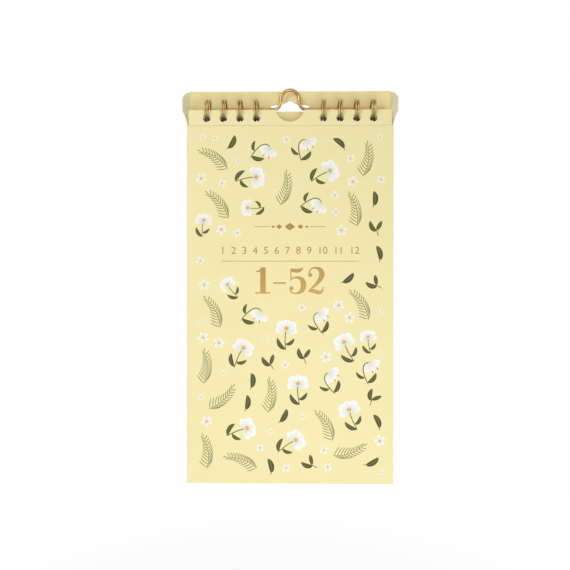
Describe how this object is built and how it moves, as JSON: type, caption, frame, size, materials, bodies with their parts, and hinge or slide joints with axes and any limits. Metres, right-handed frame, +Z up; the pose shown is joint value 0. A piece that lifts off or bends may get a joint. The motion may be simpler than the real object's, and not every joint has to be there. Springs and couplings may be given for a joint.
{
  "type": "hanging weekly planner",
  "caption": "Slim wall planner: monthly groups of weekly leaves between two cards on twin-loop wires, with a wire hanger and a hood folded back round the loops.",
  "frame": {"origin": "top of the eye under the wire hanger's hook, where a nail or a hook carries the planner", "axes": "+X to the right as seen from the front, the front cover faces -Y, +Z up; the planner hangs down along -Z"},
  "size_m": [0.1126, 0.0126, 0.2031],
  "materials": {
    "front_cover": "pale yellow matt-coated card",
    "leaf_paper": "uncoated cream-white writing paper",
    "back_card": "tan-yellow matt card",
    "hood_card": "unprinted card inside, printed pale yellow outside",
    "hem_card": "printed tan-yellow matt card",
    "gold_wire": "gold-coloured coated steel wire, satin gloss"
  },
  "bodies": {
    "hanger": {"wire_hanger": "gold_wire"},
    "binding": {"wire_left": "gold_wire", "wire_right": "gold_wire", "binding_flap": "back_card", "hood": "hood_card", "hood_hem": "hem_card"},
    "front_strip": {"front_cover_strip": "front_cover"},
    "front_panel": {"front_cover_panel": "front_cover"},
    "back_panel": {"back_cover_panel": "back_card"},
    "month_01": {"month_01_leaves": "leaf_paper"},
    "month_02": {"month_02_leaves": "leaf_paper"},
    "month_03": {"month_03_leaves": "leaf_paper"},
    "month_04": {"month_04_leaves": "leaf_paper"},
    "month_05": {"month_05_leaves": "leaf_paper"},
    "month_06": {"month_06_leaves": "leaf_paper"},
    "month_07": {"month_07_leaves": "leaf_paper"},
    "month_08": {"month_08_leaves": "leaf_paper"},
    "month_09": {"month_09_leaves": "leaf_paper"},
    "month_10": {"month_10_leaves": "leaf_paper"},
    "month_11": {"month_11_leaves": "leaf_paper"},
    "month_12": {"month_12_leaves": "leaf_paper"}
  },
  "joints": [
    {"name": "planner_swing", "type": "hinge", "parent": "hanger", "child": "binding", "pos_m": [0, 0, -0.00929], "axis": [1, 0, 0], "range_deg": [-25, 8]},
    {"name": "cover_turn", "type": "hinge", "parent": "binding", "child": "front_strip", "pos_m": [0, -0.00328, -0.01082], "axis": [-1, 0, 0], "range_deg": [0, 140]},
    {"name": "cover_crease", "type": "hinge", "parent": "front_strip", "child": "front_panel", "pos_m": [0, -0.00654, -0.01924], "axis": [-1, 0, 0], "range_deg": [0, 25]},
    {"name": "back_crease", "type": "hinge", "parent": "binding", "child": "back_panel", "pos_m": [0, 0.00008, -0.01924], "axis": [1, 0, 0], "range_deg": [0, 20]},
    {"name": "month_01_turn", "type": "hinge", "parent": "binding", "child": "month_01", "pos_m": [0, -0.00328, -0.01082], "axis": [-1, 0, 0], "range_deg": [0, 140]},
    {"name": "month_02_turn", "type": "hinge", "parent": "binding", "child": "month_02", "pos_m": [0, -0.00328, -0.01082], "axis": [-1, 0, 0], "range_deg": [0, 140]},
    {"name": "month_03_turn", "type": "hinge", "parent": "binding", "child": "month_03", "pos_m": [0, -0.00328, -0.01082], "axis": [-1, 0, 0], "range_deg": [0, 140]},
    {"name": "month_04_turn", "type": "hinge", "parent": "binding", "child": "month_04", "pos_m": [0, -0.00328, -0.01082], "axis": [-1, 0, 0], "range_deg": [0, 140]},
    {"name": "month_05_turn", "type": "hinge", "parent": "binding", "child": "month_05", "pos_m": [0, -0.00328, -0.01082], "axis": [-1, 0, 0], "range_deg": [0, 140]},
    {"name": "month_06_turn", "type": "hinge", "parent": "binding", "child": "month_06", "pos_m": [0, -0.00328, -0.01082], "axis": [-1, 0, 0], "range_deg": [0, 140]},
    {"name": "month_07_turn", "type": "hinge", "parent": "binding", "child": "month_07", "pos_m": [0, -0.00328, -0.01082], "axis": [-1, 0, 0], "range_deg": [0, 140]},
    {"name": "month_08_turn", "type": "hinge", "parent": "binding", "child": "month_08", "pos_m": [0, -0.00328, -0.01082], "axis": [-1, 0, 0], "range_deg": [0, 140]},
    {"name": "month_09_turn", "type": "hinge", "parent": "binding", "child": "month_09", "pos_m": [0, -0.00328, -0.01082], "axis": [-1, 0, 0], "range_deg": [0, 140]},
    {"name": "month_10_turn", "type": "hinge", "parent": "binding", "child": "month_10", "pos_m": [0, -0.00328, -0.01082], "axis": [-1, 0, 0], "range_deg": [0, 140]},
    {"name": "month_11_turn", "type": "hinge", "parent": "binding", "child": "month_11", "pos_m": [0, -0.00328, -0.01082], "axis": [-1, 0, 0], "range_deg": [0, 140]},
    {"name": "month_12_turn", "type": "hinge", "parent": "binding", "child": "month_12", "pos_m": [0, -0.00328, -0.01082], "axis": [-1, 0, 0], "range_deg": [0, 140]}
  ],
  "couplings": [
    {"joint": "month_01_turn", "follows": "cover_turn", "ratio": 0.9231},
    {"joint": "month_02_turn", "follows": "cover_turn", "ratio": 0.8462},
    {"joint": "month_03_turn", "follows": "cover_turn", "ratio": 0.7692},
    {"joint": "month_04_turn", "follows": "cover_turn", "ratio": 0.6923},
    {"joint": "month_05_turn", "follows": "cover_turn", "ratio": 0.6154},
    {"joint": "month_06_turn", "follows": "cover_turn", "ratio": 0.5385},
    {"joint": "month_07_turn", "follows": "cover_turn", "ratio": 0.4615},
    {"joint": "month_08_turn", "follows": "cover_turn", "ratio": 0.3846},
    {"joint": "month_09_turn", "follows": "cover_turn", "ratio": 0.3077},
    {"joint": "month_10_turn", "follows": "cover_turn", "ratio": 0.2308},
    {"joint": "month_11_turn", "follows": "cover_turn", "ratio": 0.1538},
    {"joint": "month_12_turn", "follows": "cover_turn", "ratio": 0.0769}
  ]
}
